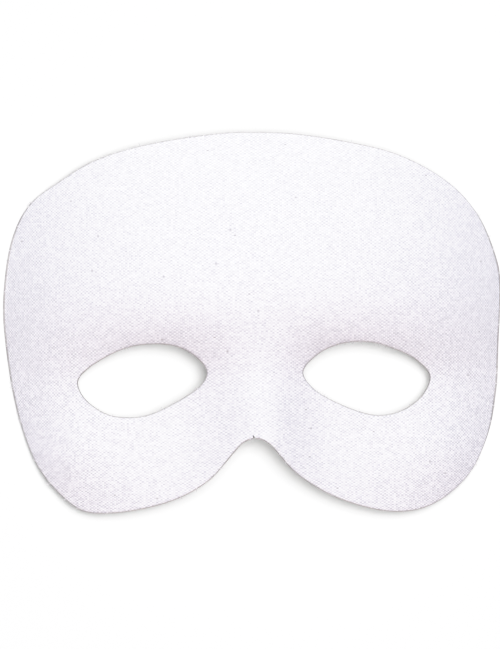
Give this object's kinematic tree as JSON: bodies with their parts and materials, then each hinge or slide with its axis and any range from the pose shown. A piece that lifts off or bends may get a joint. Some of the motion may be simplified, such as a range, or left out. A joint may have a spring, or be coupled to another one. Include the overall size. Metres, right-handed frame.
{
  "type": "half mask",
  "caption": "Plain white half mask of stiffened cotton cloth, curved round the face from forehead to cheeks, with almond eye openings and a nose notch.",
  "frame": {"origin": "centre of the mask's outline, in the plane that its side rims rest on", "axes": "+X across the face to the mask's left-hand wearer side, +Y from the nose notch up to the forehead, +Z out of the face"},
  "size_m": [0.1626, 0.1226, 0.0413],
  "materials": {
    "pressed_cotton": "plain-woven white cotton, stiffened and pressed, matt"
  },
  "bodies": {
    "root": {"half_mask": "pressed_cotton"}
  },
  "joints": []
}
